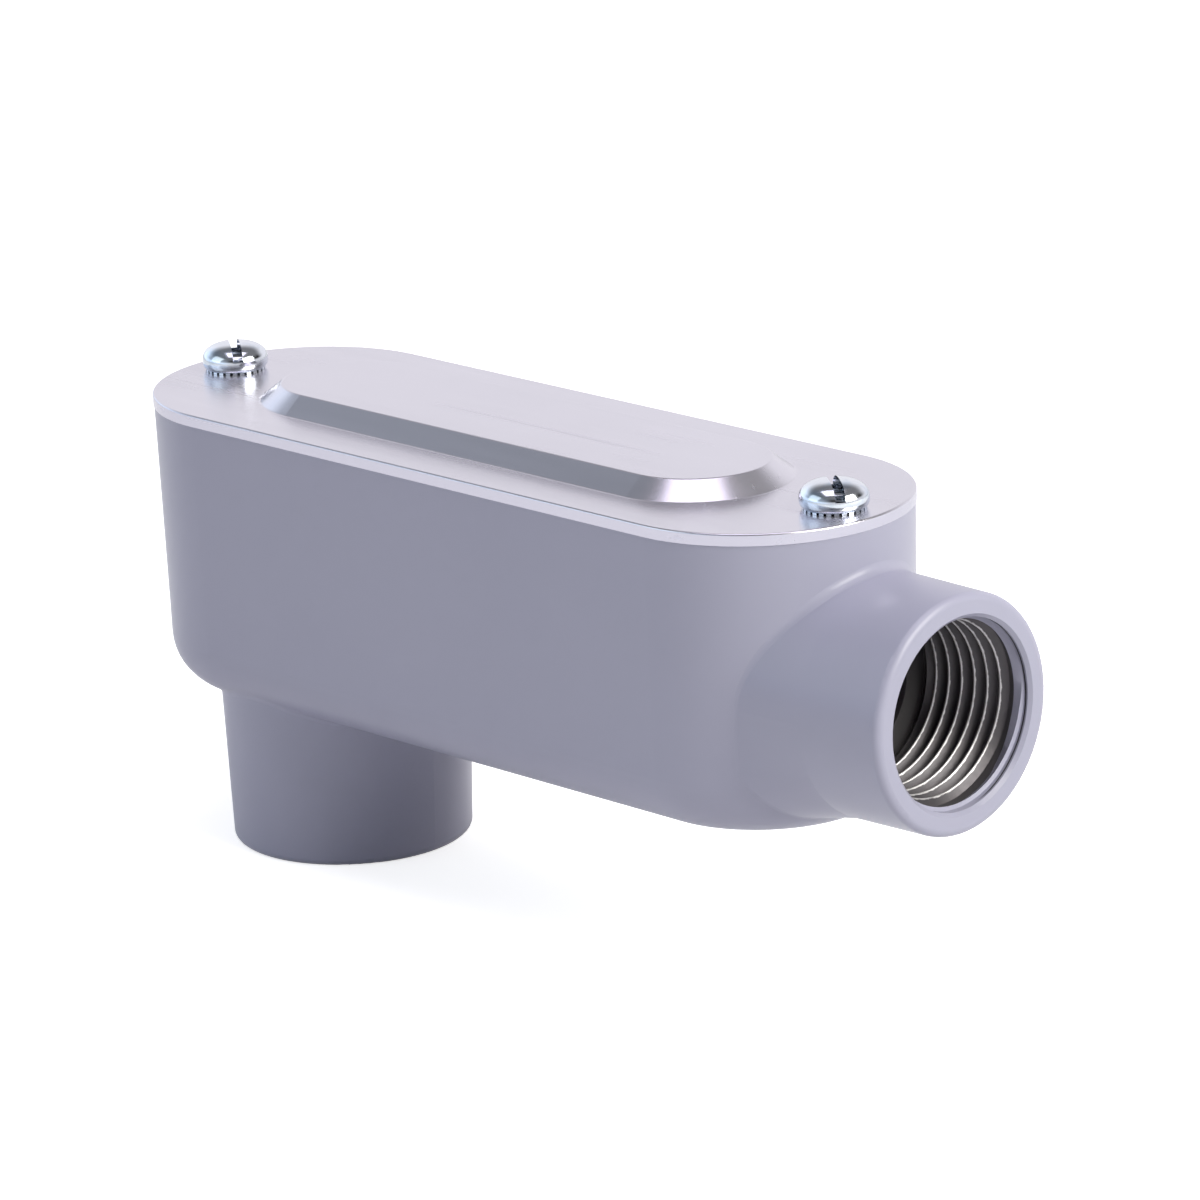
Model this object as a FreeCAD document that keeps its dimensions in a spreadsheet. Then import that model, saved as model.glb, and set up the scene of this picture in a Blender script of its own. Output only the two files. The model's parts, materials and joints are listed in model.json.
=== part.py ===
import FreeCAD, Part
import math
import os
import Sketcher
from FreeCAD import Vector

doc = FreeCAD.newDocument("conduit_body")


# ---------------------------------------------------------------- driving sizes (mm)

SIZES = {
    # the casting's outside
    "overall_height": 53.4,        # back hub's mouth to the cover's flat top
    "body_length": 108.0,          # end to end, both ends half-round
    "box_margin": 3.5,             # from the back hub's rim out to the cover's straight side
    "body_depth": 33.8,            # cover seat down to the outside of the floor
    "draft_angle": 1.2,            # of the walls, towards the floor
    "bottom_round": 6.4,           # between the walls and the floor
    "wall": 2.5,
    "floor_thick": 2.6,
    # hubs
    "hub_inset": 22.4,             # back hub's axis from the blind end
    "end_hub_length": 12.4,        # how far the end hub stands out of the round end
    "end_axis_drop": 19.8,         # cover's flat top to the end hub's axis
    "back_hub_mouth": 14.0,        # outer radius at the mouth
    "end_hub_mouth": 13.35,        # outer radius at the mouth
    "back_hub_draft": 2.0,
    "end_hub_draft": 1.0,
    "hub_lip_round": 0.9,          # outer edge of each mouth
    "junction_round": 1.0,         # where the hubs and the flare meet the box
    # threaded bores and the bushings cast at their inner ends
    "thread_major": 10.67,
    "thread_depth": 15.5,
    "entry_bevel": 0.4,
    "bushing_bore": 7.9,
    "bushing_thick": 2.0,
    "bushing_bell": 10.2,          # where the throat opens into the chamber
    "bell_length": 2.0,
    "bore_wall": 2.5,              # metal round the end bore inside the chamber
    # flare under the end hub
    "flare_start": 8.6,            # inside the round end's outermost point
    "flare_run": 9.6,
    "flare_half_width": 14.0,
    "flare_corner": 8.0,
    "flare_depth": 14.5,           # end hub's axis down to the flare's flat underside
    # cover
    "rim_height": 1.35,
    "cover_sheet": 0.8,
    "cover_overhang": 0.1,
    "cover_edge_round": 0.25,
    "panel_spacing": 55.0,         # between the centres of the raised panel's round ends
    "panel_base": 11.0,            # radius at the foot of the slope
    "panel_top": 8.5,
    "panel_rise": 2.0,
    "panel_edge_round": 0.5,       # at the panel's top edge
    "panel_foot_round": 0.5,       # where it rises from the sheet
    # gasket
    "gasket_gap": 0.2,             # to the inside of the cover's rim
    "gasket_band": 3.3,
    "gasket_end": 12.0,            # width at each end, round the screw hole
    # cover screws
    "screw_inset": 5.7,            # from each end of the cover
    "screw_major": 2.08,
    "screw_length": 7.9,
    "screw_tip": 0.5,
    "head_radius": 3.85,
    "head_height": 3.2,
    "head_round": 1.9,             # between the side and the flat top
    "head_rim_round": 0.45,        # under the rim
    "slot_width": 1.4,
    "slot_depth": 1.6,
    "screw_clearance": 0.25,       # through the cover and the gasket
    "thread_clearance": 0.06,      # in the tapped boss
    "boss_radius": 3.8,
    "tap_spare": 0.6,              # tapped hole beyond the screw's tip
}


class Dim:
    """A size from the sheet, or one worked out from it: its number and its formula."""

    def __init__(self, value, formula):
        self.value = value
        self.formula = formula

    def join(self, other, sign, value):
        return Dim(value, f"({self.formula} {sign} {dim(other).formula})")

    def __add__(self, other):
        return self.join(other, "+", self.value + dim(other).value)

    def __sub__(self, other):
        return self.join(other, "-", self.value - dim(other).value)

    def __mul__(self, other):
        return self.join(other, "*", self.value * dim(other).value)

    def __truediv__(self, other):
        return self.join(other, "/", self.value / dim(other).value)

    def __neg__(self):
        return Dim(-self.value, f"(-1 * {self.formula})")


def dim(number):
    """A plain number as a Dim."""
    return number if isinstance(number, Dim) else Dim(float(number), f"{number}")


def fill_sheet(sizes):
    """Write the sizes to the sheet and return them as Dims by name."""
    sheet = doc.addObject("Spreadsheet::Sheet", "Sizes")
    dims = {}
    for row, (name, value) in enumerate(sizes.items(), start=1):
        sheet.set(f"A{row}", name)
        sheet.set(f"B{row}", str(value))
        sheet.setAlias(f"B{row}", name)
        dims[name] = Dim(value, f"Sizes.{name}")
    doc.recompute()
    return dims


D = fill_sheet(SIZES)

# heights
cover_top = D["overall_height"]
seat = cover_top - D["rim_height"]
floor_under = seat - D["body_depth"]
floor_top = floor_under + D["floor_thick"]
end_axis = cover_top - D["end_axis_drop"]

# places along the body
body_radius = D["back_hub_mouth"] + D["box_margin"]
blind_end = -D["hub_inset"]
round_end = blind_end + D["body_length"]
end_reach = round_end + D["end_hub_length"]
blind_centre = blind_end + body_radius
round_centre = round_end - body_radius
left_screw = blind_end + D["screw_inset"]
right_screw = round_end - D["screw_inset"]
panel_middle = blind_end + D["body_length"] / 2


# ---------------------------------------------------------------- sketch helpers

def bind(thing, path, size):
    """Set a property now and tie it to the sheet."""
    thing.setExpression(path, size.formula)


def new_sketch(body, name, role, lift=None):
    """A sketch on one of the body's own planes, lifted along that plane's normal."""
    sketch = body.newObject("Sketcher::SketchObject", name)
    plane = next(f for f in body.Origin.OriginFeatures if f.Role == role)
    sketch.AttachmentSupport = [(plane, "")]
    sketch.MapMode = "FlatFace"
    if lift is not None:
        bind(sketch, "AttachmentOffset.Base.z", lift)
    return sketch


def constrain(sketch, kind, *where):
    """Add a constraint; a Dim as its last value is tied to the sheet."""
    if isinstance(where[-1], Dim):
        index = sketch.addConstraint(Sketcher.Constraint(kind, *where[:-1], where[-1].value))
        sketch.setExpression(f"Constraints[{index}]", where[-1].formula)
    else:
        sketch.addConstraint(Sketcher.Constraint(kind, *where))


def pin_point(sketch, edge, end, across, up):
    """Fix a point of an edge at a place measured from the sketch's origin."""
    constrain(sketch, "DistanceX", -1, 1, edge, end, dim(across))
    constrain(sketch, "DistanceY", -1, 1, edge, end, dim(up))


def point(across, up):
    return Vector(dim(across).value, dim(up).value, 0)


def add_circle(sketch, radius, across=0, up=0):
    edge = sketch.addGeometry(Part.Circle(point(across, up), Vector(0, 0, 1), radius.value))
    pin_point(sketch, edge, 3, across, up)
    constrain(sketch, "Radius", edge, radius)


def arc(centre, radius, start, stop):
    circle = Part.Circle(centre, Vector(0, 0, 1), radius)
    return Part.ArcOfCircle(circle, math.radians(start), math.radians(stop))


def close_loop(sketch, edges, kind="Coincident"):
    """Join each edge's end to the next edge's start."""
    for edge, following in zip(edges, edges[1:] + edges[:1]):
        constrain(sketch, kind, edge, 2, following, 1)


def add_stadium(sketch, radius, first, last):
    """Two half-round ends, centred at first and last, joined by straight sides."""
    rise = Vector(0, radius.value, 0)
    right = sketch.addGeometry(arc(point(last, 0), radius.value, -90, 90))
    top = sketch.addGeometry(Part.LineSegment(point(last, 0) + rise, point(first, 0) + rise))
    left = sketch.addGeometry(arc(point(first, 0), radius.value, 90, 270))
    bottom = sketch.addGeometry(Part.LineSegment(point(first, 0) - rise, point(last, 0) - rise))
    close_loop(sketch, [right, top, left, bottom], "Tangent")
    for end, centre in ((right, last), (left, first)):
        pin_point(sketch, end, 3, centre, 0)
        constrain(sketch, "Radius", end, radius)


def add_profile(sketch, corners):
    """A closed outline of straight edges through the corners."""
    following = corners[1:] + corners[:1]
    edges = [sketch.addGeometry(Part.LineSegment(point(*a), point(*b)))
             for a, b in zip(corners, following)]
    close_loop(sketch, edges)
    for edge, corner in zip(edges, corners):
        pin_point(sketch, edge, 1, *corner)


# ---------------------------------------------------------------- feature helpers

SEAM = 0.02     # how far apart two places may be and still count as one

def extrude(body, kind, name, sketch, length, taper=None, backwards=False):
    """A Pad or Pocket of a sketch."""
    feature = body.newObject(f"PartDesign::{kind}", name)
    feature.Profile = sketch
    feature.Reversed = backwards
    bind(feature, "Length", length)
    if taper is not None:
        bind(feature, "TaperAngle", taper)
    sketch.Visibility = False
    return feature


def turn(body, kind, name, sketch, axis):
    """A Revolution or Groove of a sketch about one of its own axes."""
    feature = body.newObject(f"PartDesign::{kind}", name)
    feature.Profile = sketch
    feature.ReferenceAxis = (sketch, [axis])
    feature.Angle = 360
    return feature


def edges_where(feature, test):
    """Names of the edges that pass the test."""
    return [f"Edge{i}" for i, edge in enumerate(feature.Shape.Edges, start=1) if test(edge)]


def round_edges(body, name, test, radius):
    """A Fillet of the tip's edges that pass the test."""
    doc.recompute()
    base = body.Tip
    feature = body.newObject("PartDesign::Fillet", name)
    feature.Base = (base, edges_where(base, test))
    bind(feature, "Radius", radius)
    doc.recompute()
    return feature


def near(a, b):
    return abs(a - dim(b).value) < SEAM


def level_at(height, half_width=None):
    """A test for edges that lie flat at a height and, if given, reach that far across."""
    def test(edge):
        box = edge.BoundBox
        flat = near(box.ZMin, height) and near(box.ZMax, height)
        return flat and (half_width is None or near(max(box.YMax, -box.YMin), half_width))
    return test


def meets_skin(edge, shape):
    """Whether an edge lies on a shape's faces without being an edge of that shape."""
    first, last = edge.ParameterRange
    middle = Part.Vertex(edge.valueAt((first + last) / 2))
    on_faces = Part.Shell(shape.Faces).distToShape(middle)[0] < SEAM
    return on_faces and Part.Compound(shape.Edges).distToShape(middle)[0] > SEAM


def new_body(name):
    body = doc.addObject("PartDesign::Body", name)
    body.Label = name
    return body


# ---------------------------------------------------------------- body casting

def add_flare(body, start, stop):
    """Loft from a root inside the round end, flat underneath, to the end hub's circle."""
    wide, corner = D["flare_half_width"], D["flare_corner"]
    knee = end_axis - D["flare_depth"] + corner
    inner = wide - corner

    root = new_sketch(body, "FlareRoot", "YZ_Plane", start)
    shapes = [
        arc(point(0, end_axis), wide.value, 0, 180),
        Part.LineSegment(point(-wide, end_axis), point(-wide, knee)),
        arc(point(-inner, knee), corner.value, 180, 270),
        Part.LineSegment(point(-inner, knee - corner), point(inner, knee - corner)),
        arc(point(inner, knee), corner.value, 270, 360),
        Part.LineSegment(point(wide, knee), point(wide, end_axis)),
    ]
    edges = [root.addGeometry(shape) for shape in shapes]
    close_loop(root, edges, "Tangent")
    pin_point(root, edges[0], 3, 0, end_axis)
    constrain(root, "Radius", edges[0], wide)
    pin_point(root, edges[2], 3, -inner, knee)
    constrain(root, "Radius", edges[2], corner)
    constrain(root, "Equal", edges[2], edges[4])

    ring = new_sketch(body, "FlareEnd", "YZ_Plane", stop)
    radius = end_hub_radius(stop)
    low = math.degrees(math.asin((end_axis - knee).value / radius.value))
    side = math.degrees(math.asin(inner.value / radius.value))
    turns = [0, 180, 180 + low, 270 - side, 270 + side, 360 - low, 360]
    arcs = [ring.addGeometry(arc(point(0, end_axis), radius.value, a, b))
            for a, b in zip(turns, turns[1:])]
    close_loop(ring, arcs)
    pin_point(ring, arcs[0], 3, 0, end_axis)
    constrain(ring, "Radius", arcs[0], radius)
    for edge in arcs[1:-1]:
        constrain(ring, "Coincident", arcs[0], 3, edge, 3)
    constrain(ring, "Equal", arcs[0], arcs[-1])
    for edge, height in ((0, end_axis), (1, end_axis), (2, knee), (5, knee)):
        constrain(ring, "DistanceY", -1, 1, arcs[edge], 1, height)
    constrain(ring, "DistanceX", -1, 1, arcs[3], 1, -inner)
    constrain(ring, "DistanceX", -1, 1, arcs[4], 1, inner)

    flare = body.newObject("PartDesign::AdditiveLoft", "Flare")
    flare.Profile = root
    flare.Sections = [ring]
    flare.Ruled = True
    return flare


def end_hub_radius(across):
    """The end hub's outer radius at a distance from the back hub's axis."""
    slope = D["end_hub_draft"]
    spread = Dim(math.tan(math.radians(slope.value)), f"tan({slope.formula} * 1 deg)")
    return D["end_hub_mouth"] + (end_reach - across) * spread


def bore_profile(mouth, inward, reach):
    """Half section of a threaded bore, its bushing and the throat into the chamber.

    Each corner is (distance from the axis, distance along it) as a Dim pair.
    """
    depth = D["thread_depth"]
    lip = depth + D["bushing_thick"]
    bell = lip + D["bell_length"]
    bevel = D["entry_bevel"]
    steps = [
        (dim(0), dim(0)),
        (D["thread_major"] + bevel, dim(0)),
        (D["thread_major"], bevel),
        (D["thread_major"], depth),
        (D["bushing_bore"], depth),
        (D["bushing_bore"], lip),
        (D["bushing_bell"], bell),
        (D["bushing_bell"], reach),
        (dim(0), reach),
    ]
    return [(radius, mouth + along * inward) for radius, along in steps]


def make_casting():
    body = new_body("body_casting")

    outline = new_sketch(body, "SeatOutline", "XY_Plane", seat)
    add_stadium(outline, body_radius - D["cover_overhang"], blind_centre, round_centre)
    extrude(body, "Pad", "Box", outline, D["body_depth"], -D["draft_angle"], backwards=True)
    box = round_edges(body, "BottomRound", level_at(floor_under), D["bottom_round"])
    box_shape = box.Shape.copy()

    back = new_sketch(body, "BackHubMouth", "XY_Plane")
    add_circle(back, D["back_hub_mouth"])
    extrude(body, "Pad", "BackHub", back, floor_under + D["bottom_round"] / 2, D["back_hub_draft"])

    end = new_sketch(body, "EndHubMouth", "YZ_Plane", end_reach)
    add_circle(end, D["end_hub_mouth"], 0, end_axis)
    flare_start = round_end - D["flare_start"]
    flare_stop = flare_start + D["flare_run"]
    extrude(body, "Pad", "EndHub", end, end_reach - flare_stop, D["end_hub_draft"],
            backwards=True)
    add_flare(body, flare_start, flare_stop)
    round_edges(body, "HubJunctions", lambda edge: meets_skin(edge, box_shape),
                D["junction_round"])
    round_edges(body, "BackHubLip", level_at(0), D["hub_lip_round"])
    round_edges(body, "EndHubLip", lambda edge: near(edge.BoundBox.XMin, end_reach),
                D["hub_lip_round"])

    chamber = new_sketch(body, "ChamberOutline", "XY_Plane", seat)
    inset = D["cover_overhang"] + D["wall"]
    add_stadium(chamber, body_radius - inset, blind_centre, round_centre)
    extrude(body, "Pocket", "Chamber", chamber, D["body_depth"] - D["floor_thick"],
            -D["draft_angle"])
    round_edges(body, "ChamberFloorRound", level_at(floor_top), D["bottom_round"] - D["wall"])

    inner = new_sketch(body, "BoreWall", "YZ_Plane", inner_face())
    add_circle(inner, D["thread_major"] + D["bore_wall"], 0, end_axis)
    extrude(body, "Pad", "BoreWallPad", inner, round_end - D["wall"] / 2 - inner_face())

    boss_depths = ((left_screw, D["body_depth"] - D["floor_thick"]),
                   (right_screw, seat - end_axis - D["thread_major"]))
    for place, depth in boss_depths:
        boss = new_sketch(body, "ScrewBoss", "XY_Plane", seat)
        add_circle(boss, D["boss_radius"], place, 0)
        extrude(body, "Pad", "ScrewBossPad", boss, depth, backwards=True)

    back_bore = new_sketch(body, "BackBore", "XZ_Plane")
    add_profile(back_bore, bore_profile(dim(0), 1, floor_top + D["floor_thick"]))
    turn(body, "Groove", "BackBoreCut", back_bore, "V_Axis")

    end_bore = new_sketch(body, "EndBore", "XZ_Plane")
    bore_reach = end_reach - round_end + D["flare_start"]
    corners = [(along, end_axis + radius)
               for radius, along in bore_profile(end_reach, -1, bore_reach)]
    add_profile(end_bore, corners)
    axis_line = end_bore.addGeometry(Part.LineSegment(point(0, end_axis), point(1, end_axis)), True)
    pin_point(end_bore, axis_line, 1, 0, end_axis)
    pin_point(end_bore, axis_line, 2, 1, end_axis)
    turn(body, "Groove", "EndBoreCut", end_bore, "Axis0")

    taps = new_sketch(body, "TappedHoles", "XY_Plane", seat)
    for place in (left_screw, right_screw):
        add_circle(taps, D["screw_major"] + D["thread_clearance"], place, 0)
    tap_depth = D["screw_length"] - D["rim_height"] + D["tap_spare"]
    extrude(body, "Pocket", "TappedHolesCut", taps, tap_depth)
    doc.recompute()
    return body


def inner_face():
    """Where the end bore's bell meets the chamber."""
    return end_reach - D["thread_depth"] - D["bushing_thick"] - D["bell_length"]


# ---------------------------------------------------------------- cover and gasket

def add_screw_holes(body, height, depth):
    holes = new_sketch(body, "ScrewHoles", "XY_Plane", height)
    for place in (left_screw, right_screw):
        add_circle(holes, D["screw_major"] + D["screw_clearance"], place, 0)
    extrude(body, "Pocket", "ScrewHolesCut", holes, depth)


def make_cover():
    body = new_body("cover")
    blank = new_sketch(body, "Blank", "XY_Plane", seat)
    add_stadium(blank, body_radius, blind_centre, round_centre)
    extrude(body, "Pad", "Sheet", blank, D["rim_height"])

    first = panel_middle - D["panel_spacing"] / 2
    last = panel_middle + D["panel_spacing"] / 2
    slope = panel_slope()
    panel = new_sketch(body, "PanelFoot", "XY_Plane", cover_top)
    add_stadium(panel, D["panel_base"], first, last)
    extrude(body, "Pad", "Panel", panel, D["panel_rise"], -slope)

    tray = new_sketch(body, "TrayOutline", "XY_Plane", seat)
    add_stadium(tray, body_radius - D["cover_sheet"], blind_centre, round_centre)
    extrude(body, "Pocket", "Tray", tray, D["rim_height"] - D["cover_sheet"], backwards=True)

    hollow = new_sketch(body, "PanelHollow", "XY_Plane", cover_top - D["cover_sheet"])
    add_stadium(hollow, D["panel_base"] - D["cover_sheet"] / 2, first, last)
    extrude(body, "Pocket", "PanelHollowCut", hollow, D["panel_rise"], -slope, backwards=True)

    for name, height, half_width, radius in (
            ("SheetEdgeRound", cover_top, body_radius, D["cover_edge_round"]),
            ("PanelFootRound", cover_top, D["panel_base"], D["panel_foot_round"]),
            ("PanelEdgeRound", cover_top + D["panel_rise"], D["panel_top"], D["panel_edge_round"])):
        round_edges(body, name, level_at(height, half_width), radius)
    add_screw_holes(body, cover_top, D["rim_height"])
    doc.recompute()
    return body


def panel_slope():
    """Angle of the raised panel's sides from upright, in degrees."""
    run = D["panel_base"] - D["panel_top"]
    value = math.degrees(math.atan2(run.value, D["panel_rise"].value))
    return Dim(value, f"atan({run.formula} / {D['panel_rise'].formula})")


def make_gasket():
    body = new_body("gasket")
    ring = new_sketch(body, "Ring", "XY_Plane", seat)
    outer = body_radius - D["cover_sheet"] - D["gasket_gap"]
    add_stadium(ring, outer, blind_centre, round_centre)
    opening = outer - D["gasket_band"]
    add_stadium(ring, opening, blind_end + D["gasket_end"] + opening,
                round_end - D["gasket_end"] - opening)
    thick = D["rim_height"] - D["cover_sheet"]
    extrude(body, "Pad", "RingPad", ring, thick)
    add_screw_holes(body, seat + thick, thick)
    doc.recompute()
    return body


# ---------------------------------------------------------------- screws

def make_screw(name, place):
    """A slotted pan-head screw, seated on the cover's flat top."""
    body = new_body(name)
    half = new_sketch(body, "HalfSection", "XZ_Plane")
    tip = cover_top - D["screw_length"]
    head_top = cover_top + D["head_height"]
    add_profile(half, [
        (dim(0), tip),
        (D["screw_major"] - D["screw_tip"], tip),
        (D["screw_major"], tip + D["screw_tip"]),
        (D["screw_major"], cover_top),
        (D["head_radius"], cover_top),
        (D["head_radius"], head_top),
        (dim(0), head_top),
    ])
    turn(body, "Revolution", "Turned", half, "V_Axis")
    for height, name, radius in ((head_top, "HeadRound", D["head_round"]),
                                 (cover_top, "RimRound", D["head_rim_round"])):
        round_edges(body, name, level_at(height, D["head_radius"]), radius)
    slot = new_sketch(body, "Slot", "XY_Plane", head_top)
    reach = D["head_radius"] + D["slot_width"]
    wide = D["slot_width"] / 2
    add_profile(slot, [(-wide, -reach), (wide, -reach), (wide, reach), (-wide, reach)])
    extrude(body, "Pocket", "SlotCut", slot, D["slot_depth"])
    bind(body, "Placement.Base.x", place)
    doc.recompute()
    return body


# ---------------------------------------------------------------- build, check and write

pieces = [
    make_casting(),
    make_cover(),
    make_gasket(),
    make_screw("left_cover_screw", left_screw),
    make_screw("right_cover_screw", right_screw),
]
doc.recompute()

for thing in doc.Objects:
    if {"Invalid", "Error"} & set(thing.State):
        raise RuntimeError(f"{thing.Name} failed: {thing.State} {thing.getStatusString()}")
for piece in pieces:
    if piece.Shape.isNull() or not piece.Shape.isValid():
        raise RuntimeError(f"{piece.Label} has no valid shape")

os.makedirs("parts", exist_ok=True)
for piece in pieces:
    piece.Shape.exportStep(f"parts/{piece.Label}.step")
    print(piece.Label, round(piece.Shape.Volume, 1), len(piece.Shape.Solids))
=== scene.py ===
import json
import math

import bmesh
import bpy
from mathutils import Matrix, Vector


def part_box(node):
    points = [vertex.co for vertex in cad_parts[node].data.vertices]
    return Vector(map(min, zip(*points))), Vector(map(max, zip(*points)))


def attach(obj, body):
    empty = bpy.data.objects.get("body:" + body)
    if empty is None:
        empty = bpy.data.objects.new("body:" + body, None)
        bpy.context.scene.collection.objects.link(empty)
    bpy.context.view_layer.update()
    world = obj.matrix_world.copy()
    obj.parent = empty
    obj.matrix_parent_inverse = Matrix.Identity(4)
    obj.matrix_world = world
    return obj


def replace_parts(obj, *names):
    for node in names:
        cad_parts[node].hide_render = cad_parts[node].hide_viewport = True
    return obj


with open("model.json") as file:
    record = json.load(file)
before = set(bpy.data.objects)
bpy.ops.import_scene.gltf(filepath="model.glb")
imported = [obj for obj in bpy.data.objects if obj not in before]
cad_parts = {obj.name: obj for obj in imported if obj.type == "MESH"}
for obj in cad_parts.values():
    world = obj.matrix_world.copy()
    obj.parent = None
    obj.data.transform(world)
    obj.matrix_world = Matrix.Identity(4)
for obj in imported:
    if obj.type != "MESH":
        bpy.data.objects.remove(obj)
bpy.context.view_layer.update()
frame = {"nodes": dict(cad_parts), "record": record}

mm = 0.001
nodes = frame["nodes"]
mounts = {mount["name"]: mount for mount in frame["record"]["mounts"]}
mouths = {name: Vector(mounts[name]["pos_m"]) for name in ("back_hub", "end_hub")}
boreRadius = mounts["end_hub"]["dims"]["r_mm"] * mm
inwards = {"back_hub": Vector((0, 0, 1)), "end_hub": Vector((-1, 0, 0))}


# shader sockets with arithmetic, and one way to make a node

class Wire:
    def __init__(self, shade, socket):
        self.shade = shade
        self.socket = socket

    def maths(self, operation, *values):
        return self.shade.node("ShaderNodeMath", {"operation": operation}, dict(enumerate(values)))

    def __add__(self, other):
        return self.maths("ADD", self, other)

    def __radd__(self, other):
        return self.maths("ADD", other, self)

    def __sub__(self, other):
        return self.maths("SUBTRACT", self, other)

    def __rsub__(self, other):
        return self.maths("SUBTRACT", other, self)

    def __mul__(self, other):
        return self.maths("MULTIPLY", self, other)

    def __rmul__(self, other):
        return self.maths("MULTIPLY", other, self)

    def root(self):
        return self.maths("SQRT", self)

    def atMost(self, limit):
        return self.maths("MINIMUM", self, limit)


class Shade:
    def __init__(self, owner):
        owner.use_nodes = True
        self.owner = owner
        self.tree = owner.node_tree
        self.tree.nodes.clear()

    def node(self, kind, settings=None, values=None, out=0):
        made = self.tree.nodes.new(kind)
        for name, value in (settings or {}).items():
            setattr(made, name, value)
        for name, value in (values or {}).items():
            if isinstance(value, Wire):
                self.tree.links.new(value.socket, made.inputs[name])
            else:
                made.inputs[name].default_value = value
        return Wire(self, made.outputs[out]) if made.outputs else made

    def place(self):
        return self.node("ShaderNodeTexCoord", out="Object")

    def axes(self, vector):
        return [self.node("ShaderNodeSeparateXYZ", None, {0: vector}, axis) for axis in range(3)]

    def noise(self, scale, detail=3.0, stretch=(1, 1, 1), distortion=0.0):
        where = self.node("ShaderNodeMapping", None, {"Vector": self.place(), "Scale": stretch})
        return self.node("ShaderNodeTexNoise", None, {"Vector": where, "Scale": scale,
                                                      "Detail": detail, "Distortion": distortion})

    # 0 below the first value, 1 above the second, smooth between
    def step(self, value, low, high):
        return self.node("ShaderNodeMapRange", {"interpolation_type": "SMOOTHSTEP"},
                         {"Value": value, "From Min": low, "From Max": high})

    # 1 between the two values, 0 a little outside them
    def band(self, value, low, high, soft):
        return self.step(value, low - soft, low) * (1.0 - self.step(value, high, high + soft))

    def mix(self, share, a, b):
        return self.node("ShaderNodeMix", {"data_type": "RGBA"}, {0: share, 6: a, 7: b}, 2)

    def bump(self, height, strength, distance, below=None):
        values = {"Height": height, "Strength": strength, "Distance": distance}
        if below:
            values["Normal"] = below
        return self.node("ShaderNodeBump", None, values)

    def surface(self, values):
        shader = self.node("ShaderNodeBsdfPrincipled", None, values)
        self.node("ShaderNodeOutputMaterial", None, {"Surface": shader})
        return self.owner


def newShade(name):
    return Shade(bpy.data.materials.new(name))


# how far a place is from a hub's axis and how deep it lies behind the hub's mouth
def boreSpot(shade, name):
    mouth = mouths[name]
    x, y, z = shade.axes(shade.place())
    if inwards[name].z:
        return (x * x + y * y).root(), z - mouth.z
    height = z - mouth.z
    return (y * y + height * height).root(), mouth.x - x


# 1 on the cut wall of a bore past its painted mouth, 0 elsewhere
def cutWall(shade, name):
    wall = {"near": (0.15 * mm, 0.35 * mm), "painted": (2.0 * mm, 2.3 * mm),
            "stop": (16.2 * mm, 16.6 * mm), "edgeScale": 300.0, "edgeSpread": 0.4 * mm}
    radius, depth = boreSpot(shade, name)
    rough = shade.noise(wall["edgeScale"], 2.0) * wall["edgeSpread"]
    near = 1.0 - shade.step(radius - boreRadius, *wall["near"])
    past = shade.step(depth + rough, *wall["painted"])
    return near * past * (1.0 - shade.step(depth, *wall["stop"]))


# painted shade: a dark line painted on the wall where the thread's groove starts, on one side of the
# bore
def paintedGrooveShade(shade, name):
    line = {"near": (0.6 * mm, 0.8 * mm), "depth": (0.62 * mm, 0.78 * mm), "soft": 0.05 * mm,
            "side": (2.0 * mm, 5.0 * mm), "wanderScale": 110.0, "wander": 0.25 * mm}
    radius, depth = boreSpot(shade, name)
    across = shade.axes(shade.place())[1]
    wander = (shade.noise(line["wanderScale"]) - 0.5) * line["wander"]
    onWall = 1.0 - shade.step(radius - boreRadius, *line["near"])
    grooveShadeBand = shade.band(depth + wander, *line["depth"], line["soft"])
    return grooveShadeBand * onWall * shade.step(across, *line["side"])


paintColour = (0.386, 0.384, 0.488, 1)


# satin enamel on the casting, worn away where the bores were cut; the bare wall there is darkened as
# painted shade of the thread valleys, and the thread's start is marked with a painted shade line
def greyEnamel():
    look = {"deep": (0.366, 0.364, 0.463, 1), "cutAndShade": (0.15, 0.143, 0.150, 1),
            "grooveShade": (0.045, 0.043, 0.048, 1), "cutMetal": 0.6, "cutRougher": 0.16,
            "roughness": 0.36, "uneven": 0.12, "coat": 0.20, "coatRoughness": 0.18,
            "specular": 0.38, "cloudScale": 38.0, "peelScale": 520.0, "gritScale": 1900.0,
            "peel": (0.12, 0.06 * mm), "grit": (0.05, 0.02 * mm)}
    shade = newShade("greyEnamel")
    cloud = shade.noise(look["cloudScale"], 4.0)
    peel = shade.bump(shade.noise(look["peelScale"], 2.0), *look["peel"])
    paint = shade.mix(cloud, paintColour, look["deep"])
    bare = 0.0
    for name in inwards:
        # a dark line of painted shade where the thread's groove starts
        paint = shade.mix(paintedGrooveShade(shade, name), paint, look["grooveShade"])
        bare = cutWall(shade, name) + bare
    return shade.surface({
        # the bare wall's colour is cut metal, darkened as painted shade of the deep bore
        "Base Color": shade.mix(bare, paint, look["cutAndShade"]),
        "Metallic": bare * look["cutMetal"],
        "Roughness": look["roughness"] + (cloud - 0.5) * look["uneven"] + bare * look["cutRougher"],
        "Normal": shade.bump(shade.noise(look["gritScale"]), *look["grit"], peel),
        "Coat Weight": look["coat"] - bare * look["coat"],
        "Coat Roughness": look["coatRoughness"],
        "Specular IOR Level": look["specular"],
    })


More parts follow.
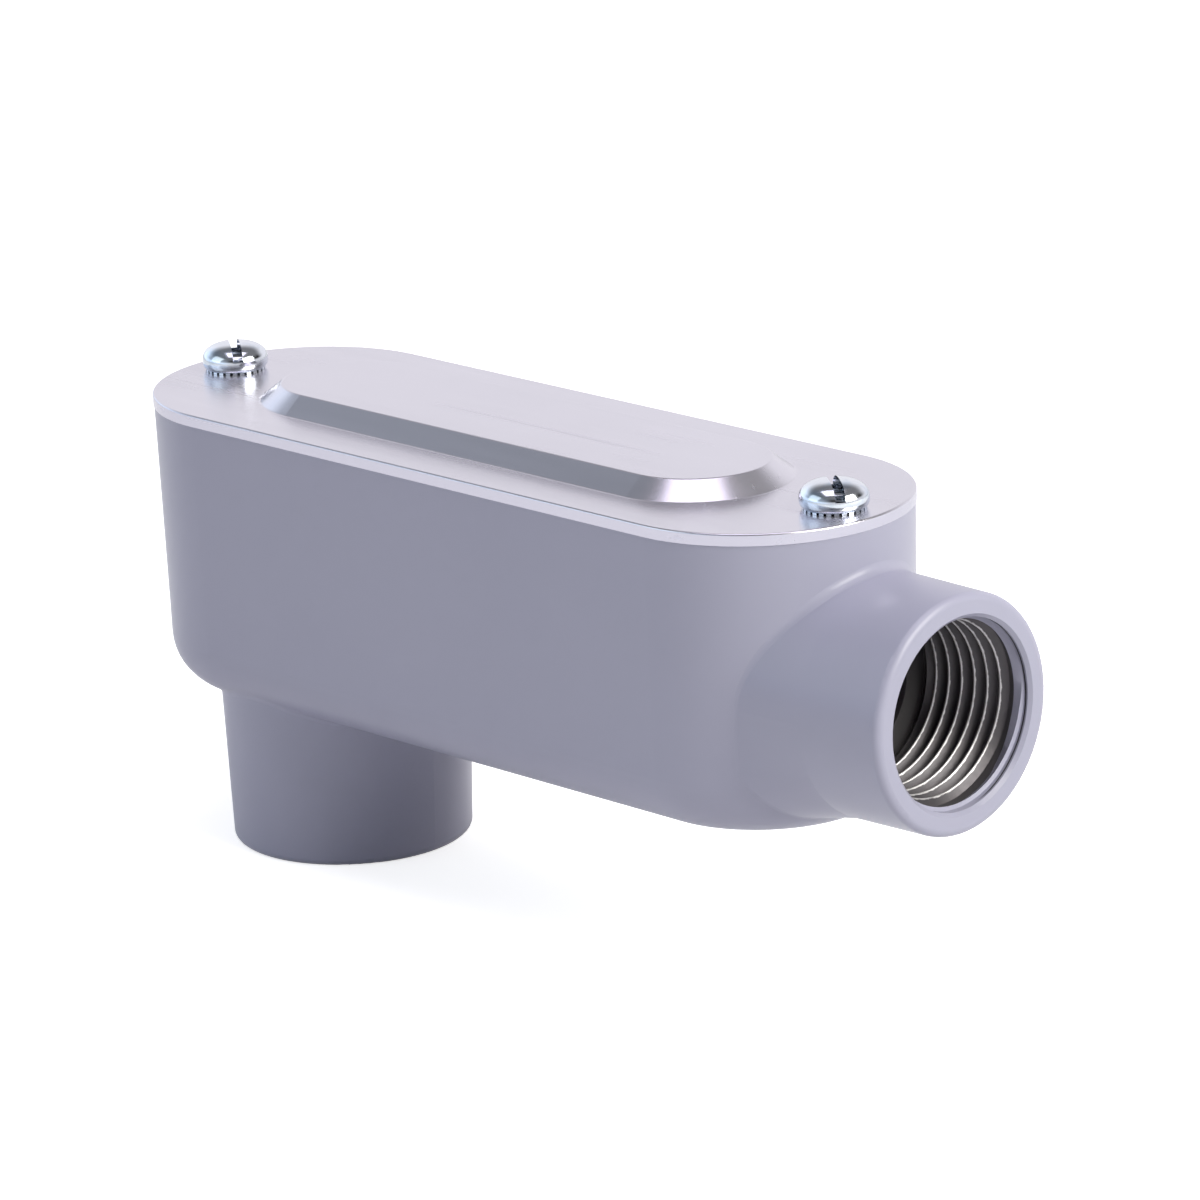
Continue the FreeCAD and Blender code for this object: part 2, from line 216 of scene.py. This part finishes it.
# bright pressed sheet with a faint lengthwise grain, and a slight waviness that bends reflections
def pressedAluminium():
    look = {"colour": (0.70, 0.685, 0.75, 1), "dull": (0.665, 0.655, 0.715, 1),
            "rim": (0.63, 0.62, 0.71, 1), "rimHeight": 1.35 * mm, "rimEdge": (-0.3 * mm, -0.05 * mm),
            "metal": 0.88, "roughness": 0.26, "uneven": 0.10, "scratchRougher": 0.08,
            "grainScale": 420.0, "waveScale": 55.0, "smudgeScale": 26.0, "scratchScale": 900.0,
            "scratch": (0.66, 0.72), "grain": (0.05, 0.03 * mm), "wave": (0.10, 0.25 * mm)}
    shade = newShade("pressedAluminium")
    grain = shade.noise(look["grainScale"], 4.0, (0.06, 1, 1))
    wave = shade.bump(shade.noise(look["waveScale"], 2.0), *look["wave"])
    smudge = shade.noise(look["smudgeScale"], 4.0)
    scratch = shade.step(shade.noise(look["scratchScale"], 2.0, (0.03, 1, 1), 0.4), *look["scratch"])
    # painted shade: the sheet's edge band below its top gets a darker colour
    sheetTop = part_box("cover")[0].z + look["rimHeight"]
    rim = 1.0 - shade.step(shade.axes(shade.place())[2] - sheetTop, *look["rimEdge"])
    sheet = shade.mix(smudge, look["colour"], look["dull"])
    uneven = (smudge + grain - 1.0) * look["uneven"]
    return shade.surface({
        "Base Color": shade.mix(rim, sheet, look["rim"]),
        "Metallic": look["metal"],
        "Roughness": look["roughness"] + uneven + scratch * look["scratchRougher"],
        "Normal": shade.bump(grain, *look["grain"], wave),
    })


# bright zinc plating
def zincPlate():
    look = {"colour": (0.76, 0.80, 0.85, 1), "blue": (0.62, 0.70, 0.80, 1), "patches": (0.45, 0.7),
            "roughness": 0.10, "uneven": 0.10, "cloudScale": 420.0, "gritScale": 2600.0,
            "cloud": (0.10, 0.05 * mm), "grit": (0.06, 0.02 * mm)}
    shade = newShade("zincPlate")
    cloud = shade.noise(look["cloudScale"])
    grit = shade.noise(look["gritScale"], 2.0)
    return shade.surface({
        "Base Color": shade.mix(shade.step(cloud, *look["patches"]), look["colour"], look["blue"]),
        "Metallic": 1.0,
        "Roughness": look["roughness"] + cloud * look["uneven"],
        "Normal": shade.bump(grit, *look["grit"], shade.bump(cloud, *look["cloud"])),
    })


def gasketRubber():
    look = {"colour": (0.028, 0.028, 0.030, 1), "dusty": (0.060, 0.060, 0.062, 1),
            "roughness": 0.75, "uneven": 0.2, "speckScale": 1500.0, "speck": (0.2, 0.05 * mm)}
    shade = newShade("gasketRubber")
    speck = shade.noise(look["speckScale"])
    return shade.surface({
        "Base Color": shade.mix(speck, look["colour"], look["dusty"]),
        "Roughness": look["roughness"] + (speck - 0.5) * look["uneven"],
        "Normal": shade.bump(speck, *look["speck"]),
    })


# freshly cut cast aluminium with its flanks and valleys darkened as painted shade and its crests
# lightened as a painted highlight, and enamel on the first land
def cutThread(name, ridge):
    look = {"shadedFlank": (0.085, 0.079, 0.086, 1), "shadedValley": (0.088, 0.081, 0.087, 1),
            "crestHighlight": (0.80, 0.78, 0.79, 1), "highlightShare": 0.8, "tearScale": 1500.0,
            "tearSpread": 0.25 * mm, "crest": (-0.16 * mm, -0.04 * mm), "foot": (0.1 * mm, 0.5 * mm),
            "painted": (2.5 * mm, 2.75 * mm), "edgeScale": 300.0, "edgeSpread": 0.4 * mm,
            "metal": 0.6, "roughness": 0.42, "uneven": 0.2, "tear": (0.35, 0.06 * mm)}
    shade = newShade(f"{name}CutThread")
    radius, depth = boreSpot(shade, name)
    height = boreRadius - radius - (depth - ridge["first"] * mm) * ridge["taper"]
    top = boreRadius - ridge["crest"] * mm
    tear = shade.noise(look["tearScale"])
    # painted highlight on the crests, painted shade on the flanks and valleys
    crest = shade.step(height + (tear - 0.5) * look["tearSpread"] - top, *look["crest"])
    metal = shade.mix(shade.step(height, *look["foot"]), look["shadedValley"], look["shadedFlank"])
    metal = shade.mix(crest * look["highlightShare"], metal, look["crestHighlight"])
    edge = shade.noise(look["edgeScale"], 2.0) * look["edgeSpread"]
    bare = shade.step(depth + edge, *look["painted"])
    return shade.surface({
        "Base Color": shade.mix(bare, paintColour, metal),
        "Metallic": bare * look["metal"],
        "Roughness": look["roughness"] + (tear - 0.5) * look["uneven"],
        "Normal": shade.bump(tear, *look["tear"]),
    })


enamel = greyEnamel()
zinc = zincPlate()
finishes = {"body_casting": enamel, "cover": pressedAluminium(), "gasket": gasketRubber(),
            "left_cover_screw": zinc, "right_cover_screw": zinc}
for name, finish in finishes.items():
    nodes[name].data.materials.clear()
    nodes[name].data.materials.append(finish)
print("finishes made")


weld = 0.0005 * mm           # points closer than this are one
hardEdge = math.radians(38)  # edges that bend more than this stay sharp


# a finished form becomes an object: joined, faced outward, smooth but for its hard edges
def finishPiece(form, name, finish, rides):
    bmesh.ops.remove_doubles(form, verts=form.verts, dist=weld)
    bmesh.ops.recalc_face_normals(form, faces=form.faces)
    for face in form.faces:
        face.smooth = True
    for edge in form.edges:
        edge.smooth = edge.calc_face_angle(0) < hardEdge
    mesh = bpy.data.meshes.new(name)
    form.to_mesh(mesh)
    form.free()
    mesh.materials.append(finish)
    piece = bpy.data.objects.new(name, mesh)
    bpy.context.scene.collection.objects.link(piece)
    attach(piece, rides)
    return piece


def turnRound(form, verts, degrees):
    bmesh.ops.rotate(form, verts=verts, cent=(0, 0, 0),
                     matrix=Matrix.Rotation(math.radians(degrees), 3, "Z"))


# a ridge wound round the Z axis: a section is spun and raised, and its crest is then drawn
# back where it starts and ends; lengths in the dictionary are in millimetres
def addRidge(form, ridge):
    first, last = ridge["first"], ridge["first"] + ridge["pitch"] * ridge["turns"]
    halfFoot, halfFlat = ridge["foot"] / 2, ridge["flat"] / 2
    corners = [(ridge["base"], first - halfFoot), (ridge["base"], first + halfFoot),
               (ridge["crest"], first + halfFlat), (ridge["crest"], first - halfFlat)]
    verts = [form.verts.new((radius * mm, 0, height * mm)) for radius, height in corners]
    edges = [form.edges.new((verts[i - 1], verts[i])) for i in range(len(verts))]
    turnRound(form, verts, ridge["turned"])
    before = set(form.verts) - set(verts)
    steps = round(ridge["turns"] * ridge["stepsPerTurn"])
    bmesh.ops.spin(form, geom=verts + edges, cent=(0, 0, 0), axis=(0, 0, 1),
                   angle=2 * math.pi * ridge["turns"], steps=steps,
                   dvec=(0, 0, (last - first) / steps * mm))
    made = set(form.verts) - before
    ends = [edge for edge in form.edges if edge.is_boundary and edge.verts[0] in made]
    bmesh.ops.holes_fill(form, edges=ends, sides=0)
    tall = ridge["crest"] - ridge["base"]
    for vert in made:
        radius, height = math.hypot(vert.co.x, vert.co.y) / mm, vert.co.z / mm
        if abs(radius - ridge["crest"]) < abs(radius - ridge["base"]):
            full = abs(tall) + ridge["taper"] * (height - first)
            room = min(full, ridge["leadIn"] * (height - first), ridge["runOut"] * (last - height))
            rise = math.copysign(max(room, ridge["least"]), tall)
            vert.co.xy *= (ridge["base"] + rise) / radius


# pipe thread: a broad first land part of the way round, then sharp crests that taper inwards
def makeHubThread(name):
    wall = boreRadius / mm
    thread = {"base": wall + 0.12, "pitch": 1.814, "stepsPerTurn": 120, "least": 0.02}
    land = {"crest": wall - 0.42, "first": 0.95, "foot": 1.45, "flat": 0.95, "turns": 0.75,
            "turned": -30, "taper": 0.0, "leadIn": 3.0, "runOut": 3.0}
    ridge = {"crest": wall - 0.80, "first": 2.64, "foot": 1.62, "flat": 0.16, "turns": 7.0,
             "turned": 240, "taper": 1 / 32, "leadIn": 1.6, "runOut": 0.9}
    form = bmesh.new()
    addRidge(form, {**thread, **land})
    addRidge(form, {**thread, **ridge})
    turn = Vector((0, 0, 1)).rotation_difference(inwards[name]).to_matrix().to_4x4()
    bmesh.ops.transform(form, matrix=Matrix.Translation(mouths[name]) @ turn, verts=form.verts)
    finishPiece(form, f"{name}_thread", cutThread(name, ridge), "casting")


for name in inwards:
    makeHubThread(name)
print("hub threads made")


# a rounded stretch of a half section, as points (radius, height)
def roundCorner(corner):
    points = []
    power = 2 / corner["squareness"]
    for step in range(corner["count"] + 1):
        angle = math.radians(corner["start"] + 90 * step / corner["count"])
        across, up = math.cos(angle), math.sin(angle)
        points.append((corner["centre"] + corner["width"] * math.copysign(abs(across) ** power, across),
                       corner["level"] + corner["height"] * math.copysign(abs(up) ** power, up)))
    return points


def spinProfile(form, points, steps):
    verts = [form.verts.new((radius * mm, 0, height * mm)) for radius, height in points]
    edges = [form.edges.new(pair) for pair in zip(verts, verts[1:])]
    bmesh.ops.spin(form, geom=verts + edges, cent=(0, 0, 0), axis=(0, 0, 1), angle=2 * math.pi,
                   steps=steps, use_merge=True)
    bmesh.ops.remove_doubles(form, verts=form.verts, dist=weld)


# cut a screwdriver slot across the top, along Y
def cutSlot(form, slot):
    half, level = slot["width"] / 2 * mm, slot["floor"] * mm
    tiny = 0.001 * mm
    everything = form.verts[:] + form.edges[:] + form.faces[:]
    bmesh.ops.bisect_plane(form, geom=everything, dist=tiny / 2, plane_co=(0, 0, level),
                           plane_no=(0, 0, 1))
    for side in (-half, half):
        above = [face for face in form.faces if face.calc_center_median().z > level]
        parts = set(above)
        for face in above:
            parts.update(face.edges)
            parts.update(face.verts)
        bmesh.ops.bisect_plane(form, geom=list(parts), dist=tiny / 2, plane_co=(side, 0, 0),
                               plane_no=(1, 0, 0))
    waste = [face for face in form.faces if face.calc_center_median().z > level
             and abs(face.calc_center_median().x) < half - tiny]
    bmesh.ops.delete(form, geom=waste, context="FACES")
    rims = [edge for edge in form.edges if edge.is_boundary]
    walls = []
    for side in (-half, half):
        rim = [edge for edge in rims if all(abs(vert.co.x - side) < tiny for vert in edge.verts)]
        feet = [vert for edge in rim for vert in edge.verts if abs(vert.co.z - level) < tiny]
        foot = form.edges.new((min(feet, key=lambda vert: vert.co.y),
                               max(feet, key=lambda vert: vert.co.y)))
        bmesh.ops.edgeloop_fill(form, edges=rim + [foot])
        walls += rim
        rims.append(foot)
    ends = [edge for edge in rims if edge not in walls]
    bmesh.ops.edgeloop_fill(form, edges=ends)
    bmesh.ops.bevel(form, geom=walls, offset=slot["edgeRound"] * mm, offset_type="OFFSET",
                    segments=3, profile=0.5, affect="EDGES", material=-1)


# small blocks in a ring under the head, which bite the sheet
def addTeeth(form, teeth, tall):
    reach = teeth["out"] - teeth["in"]
    for index in range(teeth["count"]):
        tooth = bmesh.ops.create_cube(form, size=mm)["verts"]
        bmesh.ops.scale(form, verts=tooth, vec=(reach, teeth["wide"], tall + teeth["sunk"]))
        place = Vector((teeth["in"] + reach / 2, 0, tall / 2 + teeth["raised"]))
        bmesh.ops.translate(form, verts=tooth, vec=place * mm)
        turnRound(form, tooth, 360 * index / teeth["count"])


# slotted pan-head screw; heights in millimetres from the cover's top
def makeScrew(name, turned):
    screw = {"under": 0.17, "rim": 3.86, "rimRound": 0.60, "widest": 1.05, "top": 3.2, "core": 1.66,
             "tip": -7.9, "tipIn": 0.35, "tipRise": 0.5, "squareness": 2.5, "steps": 96}
    slot = {"width": 1.15, "floor": 1.55, "edgeRound": 0.10}
    teeth = {"count": 26, "wide": 0.52, "in": 2.6, "out": 3.50, "sunk": 0.1, "raised": 0.06}
    thread = {"base": 1.61, "crest": 2.06, "first": -7.4, "foot": 0.74, "flat": 0.10, "pitch": 0.794,
              "turns": 8.4, "turned": 0, "stepsPerTurn": 48, "taper": 0.0, "leadIn": 1.5,
              "runOut": 1.5, "least": 0.02}
    outline = [(0, screw["tip"]), (screw["core"] - screw["tipIn"], screw["tip"]),
               (screw["core"], screw["tip"] + screw["tipRise"]), (screw["core"], screw["under"])]
    outline += roundCorner({"centre": screw["rim"] - screw["rimRound"], "width": screw["rimRound"],
                            "level": screw["widest"], "height": screw["widest"] - screw["under"],
                            "start": -90, "count": 6, "squareness": 2})
    outline += roundCorner({"centre": 0, "width": screw["rim"], "level": screw["widest"],
                            "height": screw["top"] - screw["widest"], "start": 0, "count": 18,
                            "squareness": screw["squareness"]})[1:]
    form = bmesh.new()
    spinProfile(form, outline, screw["steps"])
    cutSlot(form, slot)
    addTeeth(form, teeth, screw["under"])
    addRidge(form, thread)
    turnRound(form, form.verts, turned)
    low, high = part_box(name)
    bmesh.ops.translate(form, verts=form.verts,
                        vec=((low.x + high.x) / 2, 0, high.z - screw["top"] * mm))
    body = name.replace("_cover", "")
    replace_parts(finishPiece(form, f"{name}_dressed", zinc, body), name)


makeScrew("left_cover_screw", 54)
makeScrew("right_cover_screw", 54)
print("screws made")


# studio; bearings are in degrees from the camera's side of the object, to the right
cameraAzimuth = 45.92


def addCamera():
    view = {"place": Vector((546.2, -486.8, 246.2)) * mm, "elevation": 16.87, "roll": -2.24,
            "lens": 196.0, "sensor": 36, "shiftX": -0.0022, "shiftY": 0.0160, "clip": (0.01, 20)}
    data = bpy.data.cameras.new("camera")
    data.lens = view["lens"]
    data.sensor_width = view["sensor"]
    data.shift_x = view["shiftX"]
    data.shift_y = view["shiftY"]
    data.clip_start, data.clip_end = view["clip"]
    camera = bpy.data.objects.new("camera", data)
    turn = (Matrix.Rotation(math.radians(cameraAzimuth), 3, "Z")
            @ Matrix.Rotation(math.radians(90 - view["elevation"]), 3, "X")
            @ Matrix.Rotation(math.radians(view["roll"]), 3, "Z"))
    camera.matrix_world = Matrix.Translation(view["place"]) @ turn.to_4x4()
    bpy.context.scene.collection.objects.link(camera)
    bpy.context.scene.camera = camera


# a soft box turned to the middle of the object, which is above the back hub's mouth
def addLamp(name, lamp):
    box = {"aim": Vector((30, 0, 30)) * mm, "reach": 0.9, "size": 0.6}
    data = bpy.data.lights.new(name, "AREA")
    data.shape = "RECTANGLE"
    data.size = data.size_y = box["size"]
    data.energy = lamp["power"]
    data.color = lamp["colour"]
    bearing = math.radians(cameraAzimuth - 90 + lamp["bearing"])
    height = math.radians(lamp["height"])
    reach = Vector((math.cos(bearing) * math.cos(height), math.sin(bearing) * math.cos(height),
                    math.sin(height))) * box["reach"]
    made = bpy.data.objects.new(name, data)
    made.location = box["aim"] + reach
    made.rotation_mode = "QUATERNION"
    made.rotation_quaternion = (-reach).to_track_quat("-Z", "Y")
    bpy.context.scene.collection.objects.link(made)


# 1 where the camera, or a mirror or glass, looks at it, 0 for the light it sends on
def shownTo(shade, kinds):
    total = 0.0
    for kind in kinds:
        total = shade.node("ShaderNodeLightPath", out=kind) + total
    return total.atMost(1.0)


# pale floor: white in the picture, a little darker where the object keeps the light off
def addFloor():
    look = {"reach": 3.0, "paint": (0.80, 0.80, 0.80, 1), "shown": 0.70, "mirrored": 0.25,
            "roughness": 0.5, "uneven": 0.1, "grainScale": 40.0}
    form = bmesh.new()
    bmesh.ops.create_grid(form, x_segments=1, y_segments=1, size=look["reach"])
    mesh = bpy.data.meshes.new("floor")
    form.to_mesh(mesh)
    form.free()
    floor = bpy.data.objects.new("floor", mesh)
    bpy.context.scene.collection.objects.link(floor)
    shade = newShade("floor")
    seen = shownTo(shade, ["Is Camera Ray"])
    mirrored = shownTo(shade, ["Is Glossy Ray", "Is Transmission Ray"])
    rough = look["roughness"] + (shade.noise(look["grainScale"]) - 0.5) * look["uneven"]
    lit = shade.node("ShaderNodeBsdfDiffuse", None, {"Color": look["paint"], "Roughness": rough})
    glow = seen * look["shown"] + mirrored * look["mirrored"]
    white = shade.node("ShaderNodeEmission", None, {"Strength": glow})
    both = shade.node("ShaderNodeAddShader", None, {0: lit, 1: white})
    shade.node("ShaderNodeOutputMaterial", None, {"Surface": both})
    mesh.materials.append(shade.owner)


# white to the camera; its light is white from behind the object, bluish from the left, dim from
# overhead and dark from behind the camera, where only mirrors see a pale horizon
def addWorld():
    look = {"behind": 0.79, "left": 0.46, "above": 0.21, "blue": (0.76, 0.86, 1.0, 1),
            "plain": (0.97, 0.95, 1.0, 1), "edge": (0.1, 0.7), "roof": (0.40, 0.75),
            "horizon": (0.15, 0.35), "band": 0.8, "white": 1.0}
    world = bpy.data.worlds.new("studio")
    bpy.context.scene.world = world
    shade = Shade(world)
    seen = shownTo(shade, ["Is Camera Ray"])
    mirrored = shownTo(shade, ["Is Glossy Ray", "Is Transmission Ray"])
    x, y, z = shade.axes(shade.node("ShaderNodeTexCoord", out="Generated"))
    turn = math.radians(cameraAzimuth)
    far = shade.step(y * math.cos(turn) - x * math.sin(turn), *look["edge"])
    left = shade.step((x * math.cos(turn) + y * math.sin(turn)) * -1.0, *look["edge"])
    above = shade.step(z, *look["roof"])
    behind = far * (look["behind"] + mirrored * (1.0 - look["behind"]))
    around = (behind + left * look["left"]) * (1.0 - above) + above * look["above"]
    horizon = (1.0 - shade.step(z, *look["horizon"])) * (1.0 - far) * look["band"]
    light = shade.node("ShaderNodeBackground", None,
                       {"Color": shade.mix(left, look["plain"], look["blue"]),
                        "Strength": around + mirrored * horizon})
    white = shade.node("ShaderNodeBackground", None, {"Strength": look["white"]})
    both = shade.node("ShaderNodeMixShader", None, {0: seen, 1: light, 2: white})
    shade.node("ShaderNodeOutputWorld", None, {"Surface": both})


addCamera()
lamps = {"leftBox": {"bearing": -75, "height": 30, "power": 1.05, "colour": (0.88, 0.97, 1.0)},
         "rightBox": {"bearing": 55, "height": 32, "power": 8.9, "colour": (1.0, 0.99, 0.93)},
         "topBox": {"bearing": 0, "height": 88, "power": 2.3, "colour": (0.93, 0.86, 1.0)}}
for name, lamp in lamps.items():
    addLamp(name, lamp)
addFloor()
addWorld()
bpy.context.scene.view_settings.view_transform = "Standard"
print("studio set")
